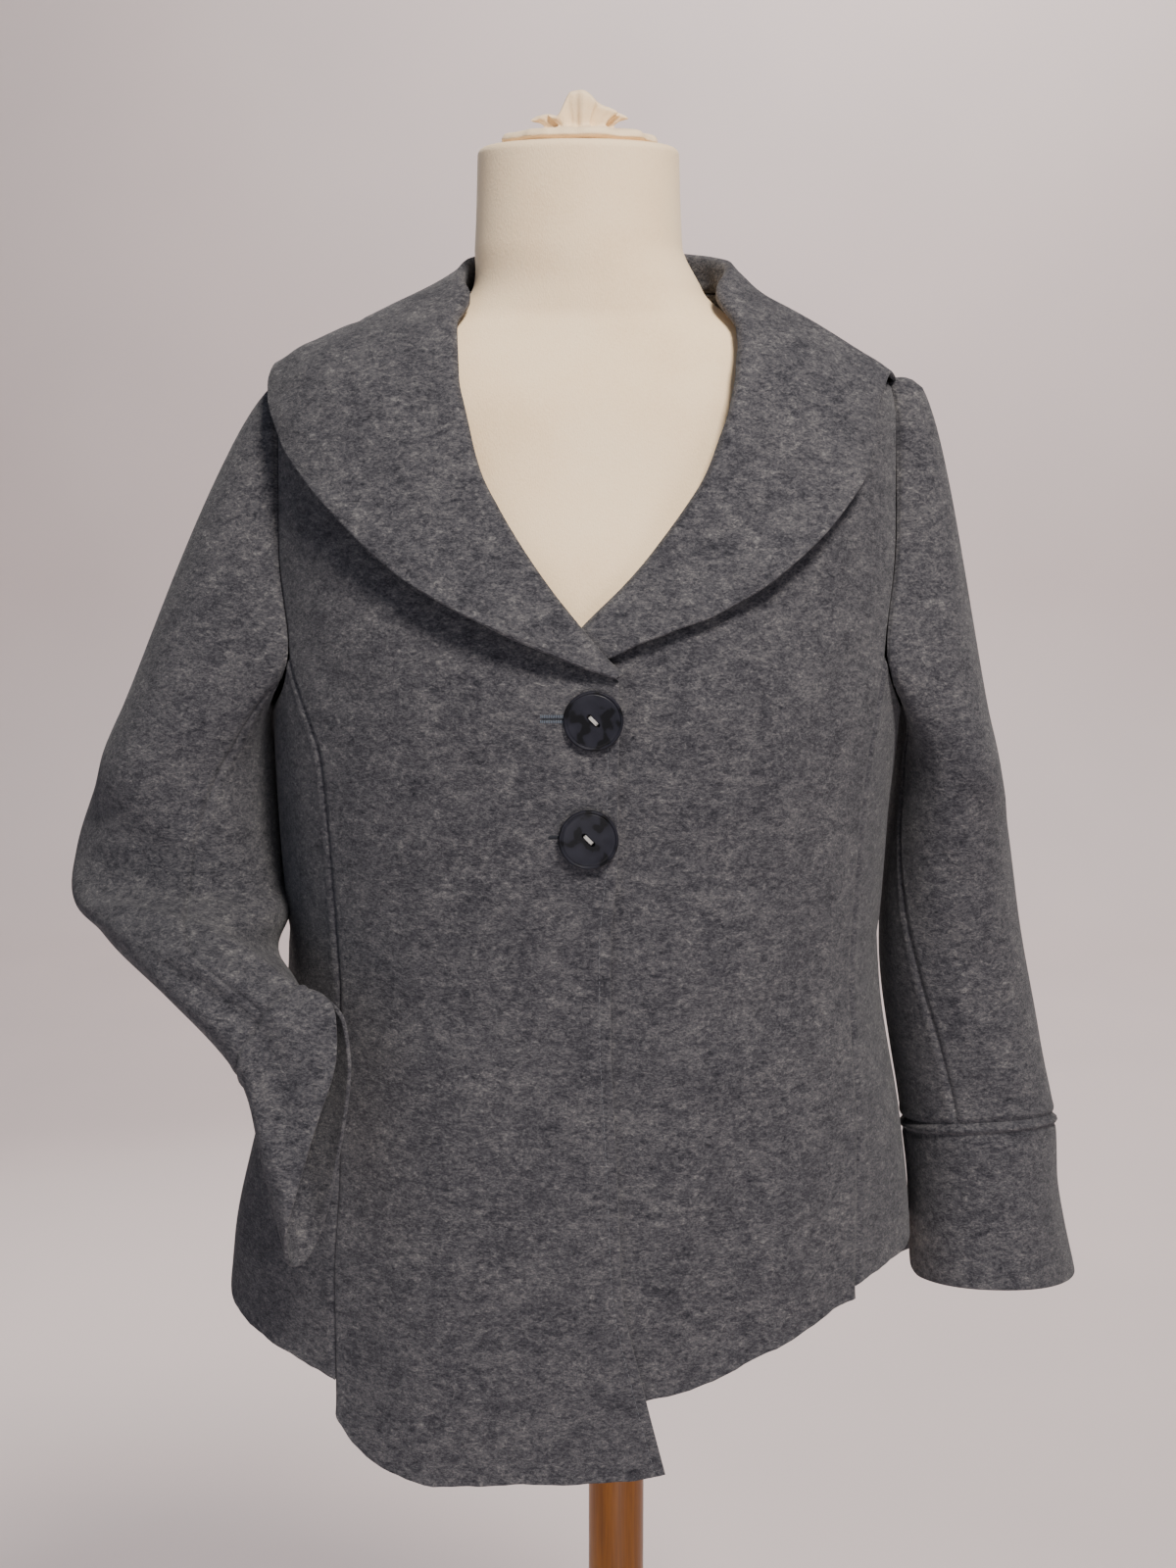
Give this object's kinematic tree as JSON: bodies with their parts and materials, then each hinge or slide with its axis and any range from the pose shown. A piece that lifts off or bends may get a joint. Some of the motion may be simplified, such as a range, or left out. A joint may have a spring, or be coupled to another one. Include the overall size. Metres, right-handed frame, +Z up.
{
  "type": "shawl collar jacket on a dress form",
  "caption": "Boiled wool jacket with a wide shawl collar, flared slit cuffs and large dark buttons, worn by a limbless dress form on a wooden pole.",
  "frame": {"origin": "centre of the foot's underside, on the floor, on the axis of the pole", "axes": "+Z up; the jacket's front faces -Y; +X is the wearer's left side"},
  "size_m": [0.6677, 0.3918, 1.5351],
  "materials": {
    "boiled_wool": "matte felted wool, heathered mid grey",
    "cream_jersey": "matte cream jersey",
    "varnished_wood": "satin varnished wood, orange brown",
    "dark_button": "satin, marbled dark blue grey"
  },
  "bodies": {
    "root": {"right_front": "boiled_wool", "left_front": "boiled_wool", "right_side_panel": "boiled_wool", "left_side_panel": "boiled_wool", "back": "boiled_wool", "collar": "boiled_wool", "right_upper_sleeve": "boiled_wool", "right_under_sleeve": "boiled_wool", "left_upper_sleeve": "boiled_wool", "left_under_sleeve": "boiled_wool", "right_cuff": "boiled_wool", "left_cuff": "boiled_wool", "button_upper": "dark_button", "button_lower": "dark_button", "form": "cream_jersey", "neck_gather": "cream_jersey", "pole": "varnished_wood", "base": "varnished_wood"}
  },
  "joints": []
}
